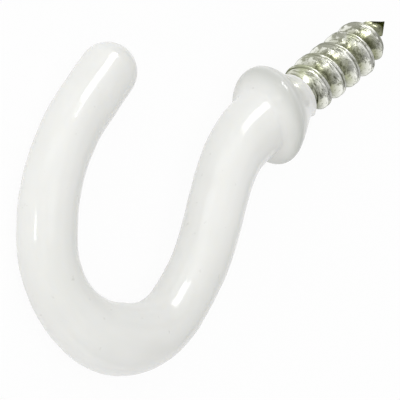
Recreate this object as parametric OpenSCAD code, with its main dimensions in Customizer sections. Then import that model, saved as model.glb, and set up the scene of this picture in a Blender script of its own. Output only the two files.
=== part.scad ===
// Screw hook: a steel wire hook with an upset collar and a wood-screw thread, dipped in
// white vinyl as far as the first turn of the thread.
//
// Units are millimetres.  The hook lies on its side, as it comes to rest: +X runs along the
// screw toward its point, +Z is up and z = 0 is the floor.  The origin is the middle of the
// bounding box at floor level.
//
// Nodes
//   steel_hook  the one bent and rolled piece of steel
//   vinyl_coat  the dipped skin, face to face with the steel it covers

/* [Screw] */
// Outside diameter of the thread
thread_d = 4.4; // [3.4:0.1:5.4]
// Diameter at the root of the thread
root_d = 2.5; // [2:0.1:3.4]
// Distance from one crest to the next
pitch = 1.65; // [1.2:0.05:2.4]
// Length of full thread past the edge of the coat
thread_l = 8.5; // [6:0.1:14]
// Length over which the thread tapers to its point
point_l = 3.3; // [3:0.1:6]
// Distance by which the rolled point stands off the screw's axis
point_off = 0.45; // [0:0.05:0.8]

/* [Collar] */
// Diameter of the steel collar under its coat
collar_d = 6.2; // [5.4:0.1:8.4]
// Width of the collar's steel rim
collar_rim = 0.5; // [0.2:0.05:0.8]
// Slope of the collar's face toward the screw, against the screw's axis
collar_front_a = 39; // [30:0.5:60]
// Slope of the collar's face toward the bend, against the screw's axis
collar_back_a = 70; // [50:0.5:75]
// Angle by which the collar stands out of square with the screw, in the plane of the hook
collar_lean = 10; // [0:0.5:12]
// Angle by which it stands out of square across that plane
collar_tip = 5; // [0:0.5:8]
// Diameter of the neck between collar and thread
neck_d = 2.8; // [2.4:0.1:3.8]
// Distance from the rim's crest to the edge of the coat on the neck
neck_l = 4.3; // [3.6:0.1:6]

/* [Wire] */
// Diameter of the bent wire
wire_d = 3.2; // [2.4:0.1:4]
// Straight run behind the collar
run_1 = 1.1; // [0.6:0.1:3]
// Centre-line radius of the swan-neck bend
neck_bend_r = 9.9; // [7:0.1:14]
// Angle of the swan-neck bend
neck_bend_a = 39.5; // [20:0.5:60]
// Straight run between the swan neck and the bowl
run_2 = 3.4; // [1:0.1:8]
// Centre-line radius where the bowl begins
lead_r = 19.3; // [12:0.1:26]
// Angle turned where the bowl begins
lead_a = 22.5; // [5:0.1:40]
// Centre-line radius of the bottom of the bowl
bowl_r = 7.5; // [6:0.1:12]
// Angle turned by the bottom of the bowl
bowl_a = 137.5; // [100:0.1:150]
// Centre-line radius of the rising arm
arm_r = 15; // [9:0.1:20]
// Angle turned by the rising arm
arm_a = 40.5; // [20:0.5:60]
// Straight run at the tip
run_3 = 4.1; // [1:0.1:8]

/* [Coat] */
// Thickness of vinyl on the wire and on the collar's rim
coat_t = 0.68; // [0.4:0.02:1]
// Thickness of vinyl on the neck
neck_coat_t = 0.55; // [0.3:0.01:0.8]
// Extra thickness where the dip gathered at the bottom of the bowl
sag_t = 0.5; // [0:0.05:0.8]
// Length over which that extra thickness fades
sag_l = 4.3; // [3:0.1:10]
// Where along the bowl it gathered, as a part of the bowl's length
sag_at = 0.38; // [0.2:0.02:0.8]
// Extra thickness of the fillet behind the collar
bell_t = 0.44; // [0.2:0.02:1]
// Length over which that fillet fades
bell_l = 4.9; // [2:0.1:7]
// Extra thickness before the collar, on the side where the dip gathered
fill_t = 0.42; // [0:0.02:0.6]
// Distance from the rim's crest to the middle of that fillet
fill_at = 1.1; // [0.6:0.1:2]
// Length over which it fades
fill_l = 1.1; // [0.6:0.1:2]
// Side of the collar on which it lies, as an angle about the screw
fill_side = 202; // [0:1:359]
// Roundness of the coated rim
rim_round = 0.6; // [0.3:0.02:1.2]
// Unevenness of the coat's edge on the neck
edge_wave = 0.12; // [0:0.02:0.25]

/* [Hidden] */

steel_color = [0.72, 0.72, 0.68];
vinyl_color = [0.93, 0.93, 0.91];

// ---------- derived sizes ----------
wire_r = wire_d / 2;
coat_r = wire_r + coat_t;
neck_r = neck_d / 2;
collar_r = collar_d / 2;
rim_r = collar_r + coat_t;
front_t = tan(collar_front_a);
back_t = tan(collar_back_a);
shank_x = neck_l + 0.3;
full_x = neck_l + thread_l;
point_x = full_x + point_l;

// ---------- centre line of the wire, in the plane of the hook ----------
// Each leg is [length, turn in degrees]; the wire leaves the collar toward -X.
function arc_l(r, a) = r * a * PI / 180;
LEGS = [
    [run_1, 0],
    [arc_l(neck_bend_r, neck_bend_a), neck_bend_a],
    [run_2, 0],
    [arc_l(lead_r, lead_a), -lead_a],
    [arc_l(bowl_r, bowl_a), -bowl_a],
    [arc_l(arm_r, arm_a), -arm_a],
    [run_3, 0]
];
START = [0, 0, 180];

// The pose [x, y, heading] after part of a leg has been run from pose p.
function leg_end(p, l, turn) =
    turn == 0
        ? [p[0] + l * cos(p[2]), p[1] + l * sin(p[2]), p[2]]
        : let (r = l / (turn * PI / 180), h = p[2] + turn)
          [p[0] + r * (sin(h) - sin(p[2])), p[1] - r * (cos(h) - cos(p[2])), h];

// The pose at the start of leg i.
function leg_start(i) =
    i == 0 ? START : leg_end(leg_start(i - 1), LEGS[i - 1][0], LEGS[i - 1][1]);

function legs_l(i) = i == 0 ? 0 : legs_l(i - 1) + LEGS[i - 1][0];
wire_l = legs_l(len(LEGS));

// The pose at distance s along the centre line; s runs negative toward the screw.
function pose(s, i = 0, before = 0) =
    s <= 0
        ? [-s, 0, 180]
        : i == len(LEGS) - 1 || s < before + LEGS[i][0]
            ? leg_end(leg_start(i), s - before, LEGS[i][1] * (s - before) / LEGS[i][0])
            : pose(s, i + 1, before + LEGS[i][0]);

// ---------- skin of the coat ----------
function ramp(x, a, b) = max(0, min(1, (x - a) / (b - a)));
function eased(t) = t * t * (3 - 2 * t);

// The collar's two coned faces and its round rim are one hyperbola, with its crest at u = 0.
rim_shift = rim_round * (back_t - front_t) / (2 * sqrt(front_t * back_t));
function collar_skin(u) =
    rim_r + rim_round * sqrt(front_t * back_t) - (front_t - back_t) / 2 * (u + rim_shift)
    - (front_t + back_t) / 2 * norm([u + rim_shift, rim_round]);

// The dip gathered in the bowl and behind the collar, and ends in a rounded lip on the neck.
sag_s = legs_l(4) + LEGS[4][0] * sag_at;
function wire_skin(s) =
    coat_r + sag_t * exp(-pow((s - sag_s) / sag_l, 2)) + bell_t * exp(-pow(s / bell_l, 2));
lip = 0.3;
function neck_skin(u) = neck_r + neck_coat_t * sqrt(max(0, 1 - pow(ramp(u, neck_l - lip, neck_l), 2)));
neck_blend = 1.8;
function run_skin(s) =
    let (neck = neck_skin(-s))
    neck + (wire_skin(max(s, 0)) - neck) * eased(ramp(s, -neck_blend, neck_blend));

// A power mean of two radii leaves a soft fillet where the collar meets the neck and the wire.
merge_p = 4.5;
function merged(a, b) = pow(pow(max(a, 0), merge_p) + pow(b, merge_p), 1 / merge_p);
tip_r = wire_skin(wire_l);
function skin_r(s) =
    s <= wire_l
        ? merged(collar_skin(-s), run_skin(s))
        : tip_r * sqrt(max(0, 1 - pow((s - wire_l) / tip_r, 2)));

SIDES = 36;
STATIONS = concat(
    [for (k = [0:4]) -neck_l + lip * (1 - cos(18 * k))],
    [for (k = [0:6]) -neck_l + lip + 0.2 + (neck_l - lip - 1.3) * k / 6],
    [for (k = [0:14]) -0.95 + 0.17 * k],
    [for (k = [1:4]) 1.43 + 0.42 * k],
    [for (k = [0:40]) 3.6 + (wire_l - 3.6) * k / 40],
    [for (a = [14:14:70]) wire_l + tip_r * sin(a)],
    [wire_l + tip_r * sin(81)]
);

// The fillet before the collar is fuller on one side, and the edge on the neck is uneven.
function fill(a, s) = fill_t * (1 + cos(a - fill_side)) / 2 * exp(-pow((s + fill_at) / fill_l, 2));
function wave(a, s) =
    edge_wave * (sin(a + 200) + 0.5 * sin(3 * a + 70)) * ramp(-s, neck_l - 1.2, neck_l);

// One ring of n points at distance s, which leans and tips with the collar where it is near it.
function ring(s, r, n, coated = false) =
    let (p = pose(s), near = exp(-pow(s / 2.4, 2)), h = p[2] - collar_lean * near, g = collar_tip * near,
         side = [-sin(h), cos(h), 0], up = [sin(g) * cos(h), sin(g) * sin(h), cos(g)])
    [for (k = [0:n - 1]) let (a = 360 * k / n, t = r + (coated ? fill(a, s) : 0))
        [p[0] + (coated ? wave(a, s) : 0), p[1], 0] + t * cos(a) * side + t * sin(a) * up];

RINGS = [for (s = STATIONS) ring(s, skin_r(s), SIDES, true)];

function flat_list(rows) = [for (row = rows) for (p = row) p];
function centre(points) = [for (i = [0:2]) total([for (p = points) p[i]]) / len(points)];
function total(v, i = 0) = i >= len(v) ? 0 : v[i] + total(v, i + 1);

// A solid through rings of n points each, closed at both ends by a fan to the end's centre.
module tube(rings, n) {
    rows = len(rings);
    points = concat(flat_list(rings), [centre(rings[0]), centre(rings[rows - 1])]);
    polyhedron(points, concat(
        [for (j = [0:rows - 2]) for (i = [0:n - 1]) [j * n + i, (j + 1) * n + i, j * n + (i + 1) % n]],
        [for (j = [0:rows - 2]) for (i = [0:n - 1])
            [j * n + (i + 1) % n, (j + 1) * n + i, (j + 1) * n + (i + 1) % n]],
        [for (i = [0:n - 1]) [rows * n, i, (i + 1) % n]],
        [for (i = [0:n - 1]) [rows * n + 1, (rows - 1) * n + (i + 1) % n, (rows - 1) * n + i]]
    ));
}

module skin() {
    tube(RINGS, SIDES);
}

// ---------- steel ----------
// The blank before threading, as [distance, radius] from the neck's end to the cut end.
STEEL_SIDES = 24;
cut = 0.6 * wire_r;
wire_start = collar_rim / 2 + (collar_r - wire_r) / back_t;
BLANK = concat(
    [[-shank_x, neck_r], [-collar_rim / 2 - (collar_r - neck_r) / front_t, neck_r]],
    [[-collar_rim / 2, collar_r], [collar_rim / 2, collar_r]],
    [for (k = [0:37]) [wire_start + (wire_l - wire_start) * k / 37, wire_r]],
    [[wire_l + cut, wire_r - cut]]
);

module blank() {
    tube([for (b = BLANK) ring(b[0], b[1], STEEL_SIDES)], STEEL_SIDES);
}

// The thread is a height over (angle, distance), on a grid that follows the helix.
TURN_SIDES = 32;
ROWS = 9;
thread_x = shank_x - pitch - 0.1;
POINT = [point_x + 0.1, point_off, 0];
LAST_ROW = floor(ROWS * ((point_x - thread_x) / pitch - 1));

function root_at(x) = (root_d / 2 - 0.05) * (1 - ramp(x, point_x - 1.35 * point_l, point_x)) + 0.05;
function crest_at(x) = (thread_d / 2 - 0.1) * (1 - pow(ramp(x, full_x, point_x), 1.15)) + 0.1;
function axis_at(x) = point_off * pow(ramp(x, full_x - 1, point_x), 1.5);
function thread_r(x, turn) =
    let (rise = ramp(x, shank_x - 0.1, shank_x + 0.4 * pitch))
    root_at(x) + rise * (crest_at(x) - root_at(x)) * abs(cos(180 * ((x - shank_x) / pitch - turn)));

function thread_point(i, j) =
    let (a = 360 * i / TURN_SIDES, x = thread_x + (j / ROWS + i / TURN_SIDES) * pitch,
         r = thread_r(x, i / TURN_SIDES))
    [x, axis_at(x) + r * cos(a), r * sin(a)];

function at(i, j) =
    i == TURN_SIDES
        ? at(0, j + ROWS)
        : j <= LAST_ROW ? j * TURN_SIDES + i : (LAST_ROW + 1) * TURN_SIDES + j - LAST_ROW - 1;

module thread() {
    n = TURN_SIDES;
    points = concat(
        [for (j = [0:LAST_ROW]) for (i = [0:n - 1]) thread_point(i, j)],
        [for (j = [LAST_ROW + 1:LAST_ROW + ROWS]) thread_point(0, j)],
        [[thread_x + pitch / 2, 0, 0], POINT]
    );
    first = len(points) - 2;
    start_edge = concat([for (i = [0:n]) at(i, 0)], [for (j = [ROWS - 1:-1:1]) at(0, j)]);
    end_edge = concat([for (i = [0:n]) at(i, LAST_ROW)],
        [for (j = [ROWS - 1:-1:1]) at(0, LAST_ROW + j)]);
    m = len(start_edge);
    polyhedron(points, concat(
        [for (j = [0:LAST_ROW - 1]) for (i = [0:n - 1]) [at(i, j), at(i, j + 1), at(i + 1, j + 1)]],
        [for (j = [0:LAST_ROW - 1]) for (i = [0:n - 1]) [at(i, j), at(i + 1, j + 1), at(i + 1, j)]],
        [for (k = [0:m - 1]) [first, start_edge[k], start_edge[(k + 1) % m]]],
        [for (k = [0:m - 1]) [first + 1, end_edge[(k + 1) % m], end_edge[k]]]
    ));
}

// ---------- resting pose ----------
// The floor touches the collar's rim, the bowl's outer side and the rising arm.
function low_on(s) = let (p = pose(s)) [p[0], p[1], -skin_r(s)];
rim_up = [-sin(collar_tip) * cos(collar_lean), sin(collar_tip) * sin(collar_lean), cos(collar_tip)];
rim_s = -0.3;
rim_low = [-rim_s, 0, 0] - (skin_r(rim_s) + fill(270, rim_s)) * rim_up;
floor_up = cross(low_on(sag_s + 2.2) - rim_low, low_on(legs_l(5) + 1.5) - rim_low);
facing = floor_up / norm(floor_up) * sign(floor_up[2]);
rest_roll = atan2(facing[1], facing[2]);
rest_pitch = -atan2(facing[0], norm([facing[1], facing[2]]));

function rested(p) =
    let (y = p[1] * cos(rest_roll) - p[2] * sin(rest_roll),
         z = p[1] * sin(rest_roll) + p[2] * cos(rest_roll))
    [p[0] * cos(rest_pitch) + z * sin(rest_pitch), y, z * cos(rest_pitch) - p[0] * sin(rest_pitch)];

OUTLINE = [for (p = concat(flat_list(RINGS), [POINT])) rested(p)];
function low(i) = min([for (p = OUTLINE) p[i]]);
function high(i) = max([for (p = OUTLINE) p[i]]);
SHIFT = [-(low(0) + high(0)) / 2, -(low(1) + high(1)) / 2, -low(2)];

module rest() {
    translate(SHIFT)
        rotate([rest_roll, rest_pitch, 0])
            children();
}

// ---------- nodes ----------
module steel_hook() {
    color(steel_color)
        rest()
            union() {
                blank();
                thread();
            }
}

module vinyl_coat() {
    color(vinyl_color)
        rest()
            difference() {
                skin();
                blank();
            }
}

steel_hook();
vinyl_coat();
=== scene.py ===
"""Looks of the screw hook: glossy white dipped vinyl over a zinc-plated steel screw.

The hook lies on its side on a pale floor.  It is made in its own frame, in millimetres, with
the collar's middle at x = 0 and the screw's point at +x.  The meshes are then turned to the
resting pose and set in the frame of the CAD model, in metres.
"""
import math

import bpy
import numpy as np
from mathutils import Matrix, Vector


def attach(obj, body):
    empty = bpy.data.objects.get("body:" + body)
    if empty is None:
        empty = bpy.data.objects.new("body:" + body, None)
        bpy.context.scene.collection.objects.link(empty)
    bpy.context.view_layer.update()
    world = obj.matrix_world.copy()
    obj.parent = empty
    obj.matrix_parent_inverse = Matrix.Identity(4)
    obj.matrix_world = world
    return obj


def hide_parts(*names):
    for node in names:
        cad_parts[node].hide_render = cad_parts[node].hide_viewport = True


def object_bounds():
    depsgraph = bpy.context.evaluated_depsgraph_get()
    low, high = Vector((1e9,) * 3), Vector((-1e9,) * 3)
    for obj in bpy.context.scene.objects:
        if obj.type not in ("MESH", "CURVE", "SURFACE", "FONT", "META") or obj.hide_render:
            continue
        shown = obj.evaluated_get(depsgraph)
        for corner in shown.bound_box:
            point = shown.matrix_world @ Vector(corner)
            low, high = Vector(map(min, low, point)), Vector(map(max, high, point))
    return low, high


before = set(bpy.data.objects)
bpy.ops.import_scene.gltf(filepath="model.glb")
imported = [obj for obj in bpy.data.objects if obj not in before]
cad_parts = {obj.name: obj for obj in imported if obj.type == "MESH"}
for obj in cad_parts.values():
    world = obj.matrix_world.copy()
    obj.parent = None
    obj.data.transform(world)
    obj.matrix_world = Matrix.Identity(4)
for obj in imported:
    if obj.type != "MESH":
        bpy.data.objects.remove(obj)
CAD_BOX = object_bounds()

# ---------------------------------------------------------------- sizes
# These are the CAD model's own.  R is a radius, L a length and T a thickness or a slope.
# The collar's lean and tip are in degrees.
THREAD_R, ROOT_R, THREAD_L, POINT_L, POINT_OFF = 2.2, 1.25, 8.5, 3.3, 0.45
COLLAR_R, COLLAR_RIM, COLLAR_LEAN, COLLAR_TIP = 3.1, 0.5, 10.0, 5.0
FRONT_T, BACK_T = math.tan(math.radians(39)), math.tan(math.radians(70))
NECK_R, NECK_L, NECK_BLEND, LIP = 1.4, 4.3, 1.8, 0.3
WIRE_R = 1.6
COAT_T, NECK_COAT_T, RIM_ROUND, MERGE_P, WAVE = 0.68, 0.55, 0.6, 4.5, 0.12
SAG_T, SAG_L, SAG_AT, BELL_T, BELL_L = 0.5, 4.3, 0.38, 0.44, 4.9
FILL_T, FILL_AT, FILL_L, FILL_SIDE = 0.42, 1.1, 1.1, math.radians(202)
# A bend is (radius, angle in degrees); a straight run is (length, 0).
BENDS = [(1.1, 0), (9.9, 39.5), (3.4, 0), (19.3, -22.5), (7.5, -137.5), (15.0, -40.5), (4.1, 0)]

# The rest are the visible model's own.  The coat's edge slants, in the hook's plane and across
# it, and carries one drop: its height, place along, length, place round and width.
EDGE_TILT, EDGE_BACK = 0.36, 0.14
DROP_T, DROP_AT, DROP_L, DROP_SIDE, DROP_W = 0.2, 0.3, 0.28, 0.3, 0.2
# The coat's gentle unevenness, as waves: height, waves along, lobes round and phase.
UNEVEN = [(0.018, 0.55, 2, 0.7), (0.012, 0.9, -1, 2.1), (0.008, 1.7, 3, 0), (0.006, 2.9, 1, 1.3)]
# The spacing of the turns as seen in this view, and where a crest starts.
PITCH, CREST_X = 1.96, 4.74
# Half the crest's width and half the ridge's, as parts of the pitch, and the flanks' curve.
CREST_W, RIDGE_W, FLANK_P = 0.11, 0.44, 1.3
# The fine seam along the crest: its depth as a part of the ridge's, and its width of the pitch.
SEAM, SEAM_W = 0.12, 0.045
# How much the valleys fill up where the thread runs out at the neck, and over what length.
RUNOUT, RUNOUT_L = 0.4, 1.6

# Each leg is (length, angle in radians).
LEGS = [(r if a == 0 else r * math.radians(abs(a)), math.radians(a)) for r, a in BENDS]
WIRE_L = sum(l for l, _ in LEGS)
SAG_S = sum(l for l, _ in LEGS[:4]) + LEGS[4][0] * SAG_AT
COAT_R = WIRE_R + COAT_T
RIM_R = COLLAR_R + COAT_T
WIRE_START = COLLAR_RIM / 2 + (COLLAR_R - WIRE_R) / BACK_T
SHANK_X = NECK_L + 0.3
FULL_X = NECK_L + THREAD_L
POINT_X = FULL_X + POINT_L


def leg_end(p, l, turn):
    """Place and heading at the end of a leg that starts at p."""
    x, y, h = p
    if abs(turn) < 1e-12:
        return (x + l * math.cos(h), y + l * math.sin(h), h)
    r, end = l / turn, h + turn
    return (x + r * (math.sin(end) - math.sin(h)), y - r * (math.cos(end) - math.cos(h)), end)


def pose(s):
    """Place and heading at distance s along the wire's centre line; negative is toward the screw."""
    if s <= 0:
        return (-s, 0.0, math.pi)
    p = (0.0, 0.0, math.pi)
    for i, (l, turn) in enumerate(LEGS):
        if s < l or i == len(LEGS) - 1:
            return leg_end(p, s, turn * s / l)
        p = leg_end(p, l, turn)
        s -= l


def wire_skin(s):
    """Radius of the coated wire, with its belly and its bell toward the collar."""
    return COAT_R + SAG_T * math.exp(-((s - SAG_S) / SAG_L) ** 2) + BELL_T * math.exp(-(s / BELL_L) ** 2)


def ramp(x, a, b):
    """0 up to a, 1 from b on, straight between."""
    return np.clip((x - a) / (b - a), 0, 1)


def collar_skin(u):
    """Two coned faces joined by a round rim, with the crest at u = 0."""
    spread = math.sqrt(FRONT_T * BACK_T)
    u += RIM_ROUND * (BACK_T - FRONT_T) / (2 * spread)
    return (RIM_R + RIM_ROUND * spread - (FRONT_T - BACK_T) / 2 * u
            - (FRONT_T + BACK_T) / 2 * math.hypot(u, RIM_ROUND))


def run_skin(s):
    """Radius of the coated wire and neck, without the collar."""
    neck = NECK_R + NECK_COAT_T * math.sqrt(max(0.0, 1 - ramp(-s, NECK_L - LIP, NECK_L) ** 2))
    t = ramp(s, -NECK_BLEND, NECK_BLEND)
    return neck + (wire_skin(max(s, 0)) - neck) * t * t * (3 - 2 * t)


def skin_r(s):
    """Radius of the whole coat: run and collar merged, and a round end."""
    if s <= WIRE_L:
        return (max(collar_skin(-s), 0) ** MERGE_P + run_skin(s) ** MERGE_P) ** (1 / MERGE_P)
    r = wire_skin(WIRE_L)
    return r * math.sqrt(max(0.0, 1 - ((s - WIRE_L) / r) ** 2))


def fill(a, s):
    """The fillet on the collar's screw side, which is fuller on one side of the neck."""
    return FILL_T * (1 + np.cos(a - FILL_SIDE)) / 2 * math.exp(-((s + FILL_AT) / FILL_L) ** 2)


# ---------------------------------------------------------------- resting pose
def rest_rotation():
    """The floor touches the collar's rim, the bowl's outer side and the rising arm."""
    lean, tip = math.radians(COLLAR_LEAN), math.radians(COLLAR_TIP)
    rim_s, bowl_s, arm_s = -0.3, SAG_S + 2.2, sum(l for l, _ in LEGS[:5]) + 1.5
    rim = np.array([-math.sin(tip) * math.cos(lean), math.sin(tip) * math.sin(lean), math.cos(tip)])
    rim = np.array([-rim_s, 0, 0]) - (skin_r(rim_s) + fill(math.radians(270), rim_s)) * rim
    bowl, arm = (np.array([*pose(s)[:2], -skin_r(s)]) for s in (bowl_s, arm_s))
    up = np.cross(bowl - rim, arm - rim)
    up *= np.sign(up[2])
    roll = math.atan2(up[1], up[2])
    pitch = -math.atan2(up[0], math.hypot(up[1], up[2]))
    return Matrix.Rotation(pitch, 3, "Y") @ Matrix.Rotation(roll, 3, "X")


REST = np.array(rest_rotation())


# ---------------------------------------------------------------- mesh making
def ring(s, r, n, along=0.0):
    """A ring of n points at distance s; it leans and tips with the collar where it is near it."""
    x, y, h = pose(s)
    near = math.exp(-(s / 2.4) ** 2)
    h -= math.radians(COLLAR_LEAN) * near
    g = math.radians(COLLAR_TIP) * near
    a = np.linspace(0, 2 * math.pi, n, endpoint=False)
    side = np.array([-math.sin(h), math.cos(h), 0])
    up = np.array([math.sin(g) * math.cos(h), math.sin(g) * math.sin(h), math.cos(g)])
    pts = np.outer(r * np.cos(a), side) + np.outer(r * np.sin(a), up) + np.array([x, y, 0])
    pts[:, 0] += along
    return pts


def tube(rings):
    """Points and faces of a closed tube through rings of equal count."""
    n = len(rings[0])
    rows = len(rings)
    pts = np.concatenate(rings + [rings[0].mean(0)[None], rings[-1].mean(0)[None]])
    faces = []
    for j in range(rows - 1):
        for i in range(n):
            k = (i + 1) % n
            faces.append((j * n + i, j * n + k, (j + 1) * n + k, (j + 1) * n + i))
    for i in range(n):
        k = (i + 1) % n
        faces.append((rows * n, k, i))
        faces.append((rows * n + 1, (rows - 1) * n + i, (rows - 1) * n + k))
    return pts, faces


def make(name, pts, faces):
    """A smoothly shaded mesh object in the scene."""
    mesh = bpy.data.meshes.new(name)
    mesh.from_pydata([tuple(p) for p in pts], [], faces)
    mesh.validate()
    for poly in mesh.polygons:
        poly.use_smooth = True
    obj = bpy.data.objects.new(name, mesh)
    bpy.context.scene.collection.objects.link(obj)
    return obj


def coat_mesh():
    """Rings along the whole coat, and at each point the share of a darker tint: painted shade on the
    collar's rim and in front of it, where the dip also runs thinner.
    """
    n = 96
    a = np.linspace(0, 2 * math.pi, n, endpoint=False)
    tip_r = wire_skin(WIRE_L)
    s = np.concatenate([
        -NECK_L + LIP * (1 - np.cos(np.linspace(0, math.pi / 2, 12))),
        np.linspace(-NECK_L + LIP + 0.05, 2.4, 100),
        np.linspace(2.5, WIRE_L, 300),
        WIRE_L + tip_r * np.sin(np.linspace(0.08, math.pi / 2 - 0.02, 18)),
    ])
    rings = []
    thin_and_shade = []
    for v in s:
        # the unevenness fades out at both ends, and the edge's own shape is near the edge only
        uneven = sum(high * np.sin(k * v + lobes * a + phase) for high, k, lobes, phase in UNEVEN)
        fade = ramp(WIRE_L + tip_r - v, 0, 1.5) * ramp(v + NECK_L, 0, 1)
        edge = ramp(-v, NECK_L - 1.2, NECK_L)
        along = WAVE * edge * (np.sin(a + math.radians(200)) + 0.5 * np.sin(3 * a + math.radians(70)))
        along += edge * (EDGE_TILT * np.cos(a) - EDGE_BACK * (1 + np.sin(a)))
        drop = DROP_T * np.exp(-((v + NECK_L - DROP_AT) / DROP_L) ** 2 - ((a - DROP_SIDE) / DROP_W) ** 2)
        rings.append(ring(v, skin_r(v) + fill(a, v) + uneven * fade + drop, n, along))
        # the tint is painted shade over the rim's edge and in front of it, where the dip also runs
        # thinner
        on_rim = math.exp(-((v - 0.1) / 0.55) ** 2)
        on_front = 0.8 * math.exp(-((v + 0.7) / 0.5) ** 2)
        thin_and_shade.append(np.full(n, max(on_rim, on_front)))
    pts, faces = tube(rings)
    return pts, faces, np.concatenate(thin_and_shade + [[0.0, 0.0]])


def blank_mesh():
    """The steel inside the coat: neck, collar and wire, with a cut end."""
    cut = 0.6 * WIRE_R
    rows = [(-SHANK_X, NECK_R), (-COLLAR_RIM / 2 - (COLLAR_R - NECK_R) / FRONT_T, NECK_R),
            (-COLLAR_RIM / 2, COLLAR_R), (COLLAR_RIM / 2, COLLAR_R)]
    rows += [(WIRE_START + (WIRE_L - WIRE_START) * k / 60, WIRE_R) for k in range(61)]
    rows.append((WIRE_L + cut, WIRE_R - cut))
    return tube([ring(s, r, 48) for s, r in rows])


def thread_mesh():
    """A height over angle and distance, on a grid that follows the helix.

    Row j of column i stands i / n of a turn further on, so the last column meets the first
    one turn later.  The grid starts inside the coat.
    """
    n, rows = 96, 44
    start = NECK_L - 1.6 * PITCH
    last = int(rows * ((POINT_X - start) / PITCH - 1))

    def point(i, j):
        a = 2 * np.pi * i / n
        x = start + (j / rows + i / n) * PITCH
        # both taper to the point, the root from a little earlier
        root = (ROOT_R - 0.05) * (1 - ramp(x, POINT_X - 1.35 * POINT_L, POINT_X)) + 0.05
        root = root + RUNOUT * (1 - ramp(x, NECK_L, NECK_L + RUNOUT_L))
        crest = (THREAD_R - 0.1) * (1 - ramp(x, FULL_X - 0.3, POINT_X) ** 1.1) + 0.1
        rise = ramp(x, NECK_L - 0.5, NECK_L + 0.8)
        turn = (x - CREST_X) / PITCH - i / n
        across = np.abs(turn - np.round(turn))
        seam = SEAM * rise * np.exp(-(across / SEAM_W) ** 2)
        ridge = (1 - ramp(across, CREST_W, RIDGE_W)) ** FLANK_P - seam
        r = root + rise * (crest - root) * ridge
        off = POINT_OFF * ramp(x, FULL_X - 1, POINT_X) ** 1.5
        return np.stack([x, off + r * np.cos(a), r * np.sin(a)], axis=-1)

    jj, ii = np.meshgrid(np.arange(last + 1), np.arange(n), indexing="ij")
    pts = point(ii.ravel().astype(float), jj.ravel().astype(float))
    extra = np.arange(last + 1, last + rows + 1)
    pts = np.concatenate([pts, point(np.zeros(rows), extra.astype(float)),
                          [[start + PITCH / 2, 0, 0], [POINT_X + 0.1, POINT_OFF, 0]]])
    first = len(pts) - 2

    def at(i, j):
        if i == n:
            i, j = 0, j + rows
        return j * n + i if j <= last else (last + 1) * n + j - last - 1

    faces = [(at(i, j), at(i + 1, j), at(i + 1, j + 1), at(i, j + 1))
             for j in range(last) for i in range(n)]
    low = [at(i, 0) for i in range(n + 1)] + [at(0, j) for j in range(rows - 1, 0, -1)]
    top = [at(i, last) for i in range(n + 1)] + [at(0, last + j) for j in range(rows - 1, 0, -1)]
    faces += [(first, low[(k + 1) % len(low)], low[k]) for k in range(len(low))]
    faces += [(first + 1, top[k], top[(k + 1) % len(top)]) for k in range(len(top))]
    # arc length along the thread and distance across it from its crest, for the rolling marks
    turns = np.concatenate([ii.ravel() / n, np.zeros(rows + 2)])
    phase = (start - CREST_X) / PITCH + np.concatenate([jj.ravel(), extra, [0, 0]]) / rows
    crest_no = np.round(phase)
    length = (turns + crest_no) * 2 * np.pi * THREAD_R
    marks = np.stack([length, (phase - crest_no) * PITCH, 0 * length], -1)
    return pts, faces, marks


coat_pts, coat_faces, coat_thin_and_shade = coat_mesh()
blank_pts, blank_faces = blank_mesh()
thread_pts, thread_faces, thread_marks = thread_mesh()

# Turn to the resting pose, then set the whole on the CAD box: middle in plan, floor at its foot.
coat_pts = coat_pts @ REST.T
steel_pts = np.concatenate([blank_pts, thread_pts]) @ REST.T
steel_faces = blank_faces + [tuple(v + len(blank_pts) for v in f) for f in thread_faces]
every = np.concatenate([coat_pts, steel_pts])
low, high = every.min(0), every.max(0)
cad_low, cad_high = np.array(CAD_BOX[0]) * 1000, np.array(CAD_BOX[1]) * 1000
SHIFT = np.array([(cad_low[0] + cad_high[0] - low[0] - high[0]) / 2,
                  (cad_low[1] + cad_high[1] - low[1] - high[1]) / 2, cad_low[2] - low[2]])
coat_pts = (coat_pts + SHIFT) / 1000
steel_pts = (steel_pts + SHIFT) / 1000


def out(p):
    """A point of the hook's own frame, in millimetres, as a place in the scene, in metres."""
    return Vector((REST @ np.array(p, float) + SHIFT) / 1000)


# The screw's axis, and the side on which its plate is painted darker, as painted shade.
AXIS_POINT = out((0, 0, 0))
AXIS_DIR = Vector(REST @ np.array([1.0, 0, 0]))
SHADE_SIDE = Vector(REST @ np.array([0, 0.94, 0.34]))


# ---------------------------------------------------------------- materials
# Colours are linear.  The plate is painted darker in the grooves than on the crests, as painted shade.
VINYL, VINYL_CLOUD, VINYL_SPECK = (0.865, 0.868, 0.845), (0.835, 0.838, 0.81), (0.74, 0.74, 0.71)
# A darker vinyl tint: painted shade along the collar's rim and in front of it, where the dip also runs
# thinner.
VINYL_THIN_AND_SHADE = (0.62, 0.63, 0.6)
GROOVE_SHADE, CREST, ZINC_EDGE = (0.36, 0.37, 0.25), (0.96, 0.965, 0.9), (0.12, 0.13, 0.1, 1)
STAIN, TARNISH_AND_SHADE = (0.52, 0.56, 0.34), (0.16, 0.165, 0.10)
# Distances from the screw's axis, in metres: where the painted groove shade ends and the crest's colour
# starts.
GROOVE_OUT, CREST_IN = 0.00135, 0.0021


def nodes_of(name):
    """A new material with one Principled shader."""
    mat = bpy.data.materials.new(name)
    mat.use_nodes = True
    tree = mat.node_tree
    tree.nodes.clear()
    output = tree.nodes.new("ShaderNodeOutputMaterial")
    shader = tree.nodes.new("ShaderNodeBsdfPrincipled")
    tree.links.new(shader.outputs[0], output.inputs[0])
    return mat, tree, shader


def noise(tree, coords, scale, detail=2.0, rough=0.5):
    n = tree.nodes.new("ShaderNodeTexNoise")
    n.inputs["Scale"].default_value = scale
    n.inputs["Detail"].default_value = detail
    n.inputs["Roughness"].default_value = rough
    tree.links.new(coords, n.inputs["Vector"])
    return n.outputs["Fac"]


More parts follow.
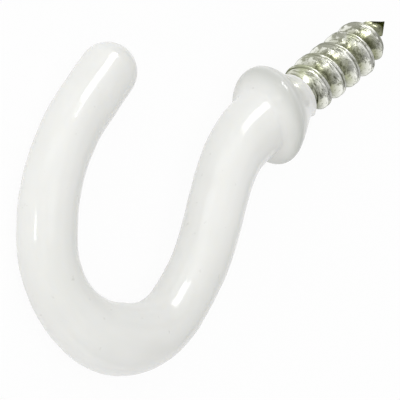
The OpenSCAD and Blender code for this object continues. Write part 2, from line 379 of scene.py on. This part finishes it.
def span(tree, value, a, b, lo, hi):
    """The value's range a to b turned into lo to hi, held at both ends."""
    m = tree.nodes.new("ShaderNodeMapRange")
    for key, v in (("From Min", a), ("From Max", b), ("To Min", lo), ("To Max", hi)):
        m.inputs[key].default_value = v
    tree.links.new(value, m.inputs["Value"])
    return m.outputs[0]


def math_node(tree, how, a, b):
    m = tree.nodes.new("ShaderNodeMath")
    m.operation = how
    for sock, v in zip(m.inputs, (a, b)):
        if isinstance(v, float):
            sock.default_value = v
        else:
            tree.links.new(v, sock)
    return m.outputs[0]


def vector_node(tree, how, a, b=None):
    m = tree.nodes.new("ShaderNodeVectorMath")
    m.operation = how
    tree.links.new(a, m.inputs[0])
    if b is not None:
        m.inputs[1].default_value = b
    return m.outputs["Value" if how in ("DOT_PRODUCT", "LENGTH") else "Vector"]


def bumpy(tree, shader, height, strength):
    bump = tree.nodes.new("ShaderNodeBump")
    bump.inputs["Strength"].default_value = strength
    bump.inputs["Distance"].default_value = 0.0001
    tree.links.new(height, bump.inputs["Height"])
    tree.links.new(bump.outputs[0], shader.inputs["Normal"])


def mix(tree, fac, a, b):
    m = tree.nodes.new("ShaderNodeMix")
    m.data_type = "RGBA"
    for sock, v in ((m.inputs[6], a), (m.inputs[7], b)):
        if isinstance(v, tuple):
            sock.default_value = (*v, 1)
        else:
            tree.links.new(v, sock)
    tree.links.new(fac, m.inputs[0])
    return m.outputs[2]


def vinyl():
    """Glossy dipped vinyl: faintly cloudy, with a few specks, and painted shade at the collar's rim,
    where the dip also runs thinner.
    """
    mat, tree, shader = nodes_of("dipped_vinyl")
    where = tree.nodes.new("ShaderNodeTexCoord").outputs["Object"]
    cloud = noise(tree, where, 130, 3)
    speck = noise(tree, where, 1500, 2)
    tint = mix(tree, span(tree, cloud, 0.35, 0.65, 0, 1), VINYL, VINYL_CLOUD)
    tint = mix(tree, span(tree, speck, 0.7, 0.78, 0, 1), tint, VINYL_SPECK)
    # painted shade at the collar's rim, from the mesh's share per point
    thin_and_shade = tree.nodes.new("ShaderNodeAttribute")
    thin_and_shade.attribute_name = "thin_and_shade"
    tint = mix(tree, thin_and_shade.outputs["Fac"], tint, VINYL_THIN_AND_SHADE)
    tree.links.new(tint, shader.inputs["Base Color"])
    tree.links.new(span(tree, cloud, 0.3, 0.7, 0.09, 0.15), shader.inputs["Roughness"])
    shader.inputs["IOR"].default_value = 1.5
    shader.inputs["Subsurface Weight"].default_value = 0.6
    shader.inputs["Subsurface Radius"].default_value = (1.0, 0.95, 0.85)
    shader.inputs["Subsurface Scale"].default_value = 0.0006
    # the gloss fades at glancing angles, so that the outline stays clear of the white floor
    edge = tree.nodes.new("ShaderNodeLayerWeight")
    edge.inputs["Blend"].default_value = 0.5
    gloss = span(tree, edge.outputs["Facing"], 0.55, 0.95, 0.5, 0.0)
    tree.links.new(gloss, shader.inputs["Specular IOR Level"])
    bumpy(tree, shader, noise(tree, where, 420, 2), 0.07)
    return mat


def zinc():
    """Rolled and zinc-plated steel: patchy along the thread, with painted shade in the grooves and on
    one side, dark in the seam.
    """
    mat, tree, shader = nodes_of("zinc_plate")
    where = tree.nodes.new("ShaderNodeTexCoord").outputs["Object"]
    place = tree.nodes.new("ShaderNodeNewGeometry").outputs["Position"]
    from_axis = vector_node(tree, "SUBTRACT", place, AXIS_POINT)
    radius = vector_node(tree, "LENGTH", vector_node(tree, "CROSS_PRODUCT", from_axis, AXIS_DIR))
    # painted shade: the nearer to the axis, the darker, down in the grooves
    height = span(tree, radius, GROOVE_OUT, CREST_IN, 0, 1)
    # rolling marks run along the thread: the noise is stretched that way
    rolled = tree.nodes.new("ShaderNodeAttribute")
    rolled.attribute_name = "rolled"
    rolled = rolled.outputs["Vector"]
    patch = noise(tree, vector_node(tree, "MULTIPLY", rolled, (0.5, 2.4, 1)), 2.6, 4, 0.65)
    stain = noise(tree, where, 420, 2, 0.5)
    # painted shade: one side of the screw is painted darker, and the opposite side lighter
    side_way = vector_node(tree, "DOT_PRODUCT", from_axis, SHADE_SIDE)
    shaded_side = span(tree, side_way, 0.0015, 0.0022, 0.0, 0.2)
    lit_side = span(tree, side_way, -0.0019, -0.0008, -0.12, 0.0)
    patch = math_node(tree, "ADD", patch, math_node(tree, "ADD", shaded_side, lit_side))
    # the seam is where the distance from the crest is small, and it comes and goes
    across = tree.nodes.new("ShaderNodeSeparateXYZ")
    tree.links.new(rolled, across.inputs[0])
    across = math_node(tree, "ABSOLUTE", across.outputs["Y"], 0.0)
    seam = span(tree, across, 0.04, 0.1, 0.7, 0.0)
    seam = math_node(tree, "MULTIPLY", seam, span(tree, stain, 0.4, 0.6, 0.4, 1.0))
    # painted shade in the grooves, the plate's own colour on the crests
    tint = mix(tree, height, GROOVE_SHADE, CREST)
    # the dark plate: tarnish in random patches along the thread, plus painted shade on one side
    tint = mix(tree, span(tree, patch, 0.52, 0.62, 0, 0.74), tint, TARNISH_AND_SHADE)
    tint = mix(tree, span(tree, stain, 0.52, 0.68, 0, 0.5), tint, STAIN)
    tint = mix(tree, seam, tint, TARNISH_AND_SHADE)
    tree.links.new(tint, shader.inputs["Base Color"])
    shader.inputs["Metallic"].default_value = 1.0
    shader.inputs["Specular Tint"].default_value = ZINC_EDGE
    tree.links.new(span(tree, patch, 0.3, 0.7, 0.1, 0.3), shader.inputs["Roughness"])
    bumpy(tree, shader, noise(tree, where, 1600, 3), 0.6)
    return mat


coat = make("dipped_coat", coat_pts, coat_faces)
# the share of painted shade at the collar's rim, per point
coat.data.attributes.new("thin_and_shade", "FLOAT", "POINT").data.foreach_set("value", coat_thin_and_shade)
coat.data.materials.append(vinyl())
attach(coat, "root")
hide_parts("vinyl_coat")

steel = make("threaded_steel", steel_pts, steel_faces)
rolled = np.concatenate([np.zeros((len(blank_pts), 3)), thread_marks])
steel.data.attributes.new("rolled", "FLOAT_VECTOR", "POINT").data.foreach_set("vector", rolled.ravel())
steel.data.materials.append(zinc())
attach(steel, "root")
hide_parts("steel_hook")


# ---------------------------------------------------------------- floor and light
# The share of light that the floor returns, how white it is to the eye and in reflections, and
# its half width and height in metres.
FLOOR_BOUNCE, FLOOR_WHITE = 0.92, 0.94
FLOOR_HALF, FLOOR_Z = 3, -0.00002


def pale_floor():
    """White to the eye and in reflections, with a faint share of the object's own shadow."""
    mat, tree, shader = nodes_of("pale_floor")
    shader.inputs["Base Color"].default_value = (FLOOR_BOUNCE, FLOOR_BOUNCE, FLOOR_BOUNCE, 1)
    shader.inputs["Roughness"].default_value = 0.9
    shader.inputs["Specular IOR Level"].default_value = 0.0
    rays = tree.nodes.new("ShaderNodeLightPath").outputs
    seen = math_node(tree, "MAXIMUM", rays["Is Camera Ray"], rays["Is Glossy Ray"])
    seen = math_node(tree, "MAXIMUM", seen, rays["Is Transmission Ray"])
    white = tree.nodes.new("ShaderNodeEmission")
    white.inputs["Strength"].default_value = 1.0
    both = tree.nodes.new("ShaderNodeMixShader")
    tree.links.new(math_node(tree, "MULTIPLY", seen, FLOOR_WHITE), both.inputs[0])
    tree.links.new(shader.outputs[0], both.inputs[1])
    tree.links.new(white.outputs[0], both.inputs[2])
    tree.links.new(both.outputs[0], tree.nodes["Material Output"].inputs[0])
    return mat


corners = [(x * FLOOR_HALF, y * FLOOR_HALF, FLOOR_Z) for x, y in ((-1, -1), (1, -1), (1, 1), (-1, 1))]
floor = make("floor", corners, [(0, 1, 2, 3)])
floor.data.materials.append(pale_floor())


def toward(azimuth, elevation):
    """The direction at these angles, in degrees."""
    az, el = math.radians(azimuth), math.radians(elevation)
    return Vector((math.cos(az) * math.cos(el), math.sin(az) * math.cos(el), math.sin(el)))


# The sky is a wide soft light, brightest on one side.
SKY_SIDE, SKY_LOW, SKY_HIGH = toward(130, 20), 0.64, 1.32
# In reflections the room has darker places, and a pale wall round the window.
ROOM_DARK, WALL_SIDE, WALL_GLOW = -0.6, toward(80, 28), 0.6
world = bpy.data.worlds.new("studio")
bpy.context.scene.world = world
world.use_nodes = True
sky = world.node_tree
back = sky.nodes["Background"]
back.inputs["Color"].default_value = (1, 1, 1, 1)
way = sky.nodes.new("ShaderNodeTexCoord").outputs["Generated"]
glow = span(sky, vector_node(sky, "DOT_PRODUCT", way, SKY_SIDE), -0.1, 1.0, SKY_LOW, SKY_HIGH)
gloss = sky.nodes.new("ShaderNodeLightPath").outputs["Is Glossy Ray"]
room = span(sky, noise(sky, way, 2.6, 1), 0.42, 0.58, ROOM_DARK, 0.0)
wall = span(sky, vector_node(sky, "DOT_PRODUCT", way, WALL_SIDE), 0.55, 0.95, 0.0, WALL_GLOW)
room = math_node(sky, "ADD", room, wall)
seen = math_node(sky, "ADD", math_node(sky, "MULTIPLY", gloss, room), 1.0)
sky.links.new(math_node(sky, "MULTIPLY", glow, seen), back.inputs["Strength"])


def softbox(name, azimuth, elevation, wide, tall, turn, radiance, distance=0.5, centre=(0, 0, 0)):
    """A lamp for the gloss, seen from the hook at these angles, wide by tall and turned in degrees."""
    facing = toward(azimuth, elevation)
    lamp = bpy.data.lights.new(name, "AREA")
    lamp.shape = "RECTANGLE"
    lamp.size = 2 * distance * math.tan(math.radians(wide / 2))
    lamp.size_y = 2 * distance * math.tan(math.radians(tall / 2))
    lamp.energy = math.pi * lamp.size * lamp.size_y * radiance
    obj = bpy.data.objects.new(name, lamp)
    obj.location = Vector(centre) + facing * distance
    spin = Matrix.Rotation(math.radians(turn), 3, "Z")
    obj.rotation_euler = (facing.to_track_quat("Z", "Y").to_matrix() @ spin).to_euler()
    obj.visible_diffuse = False
    obj.visible_camera = False
    bpy.context.scene.collection.objects.link(obj)


softbox("window", azimuth=63, elevation=32.5, wide=31, tall=21, turn=18, radiance=7.0)
softbox("low", azimuth=142, elevation=3, wide=12, tall=6, turn=0, radiance=9.0,
        distance=0.08, centre=out((-28, 5, 1)))

# ---------------------------------------------------------------- camera
# The camera's place and directions, in the hook's own frame.
SPOT = out((-165.17, 70.80, 180.99))
AHEAD = Vector(REST @ np.array([0.6224, -0.2924, -0.7261])).normalized()
UP = Vector(REST @ np.array([0.4782, 0.8764, 0.0570]))
side = AHEAD.cross(UP).normalized()
UP = side.cross(AHEAD).normalized()
cam = bpy.data.cameras.new("camera")
cam.sensor_width = 36
cam.lens = 288
cam.clip_start = 0.01
cam_obj = bpy.data.objects.new("camera", cam)
cam_obj.matrix_world = Matrix.Translation(SPOT) @ Matrix((side, UP, -AHEAD)).transposed().to_4x4()
bpy.context.scene.collection.objects.link(cam_obj)
bpy.context.scene.camera = cam_obj

bpy.context.scene.view_settings.view_transform = "Standard"
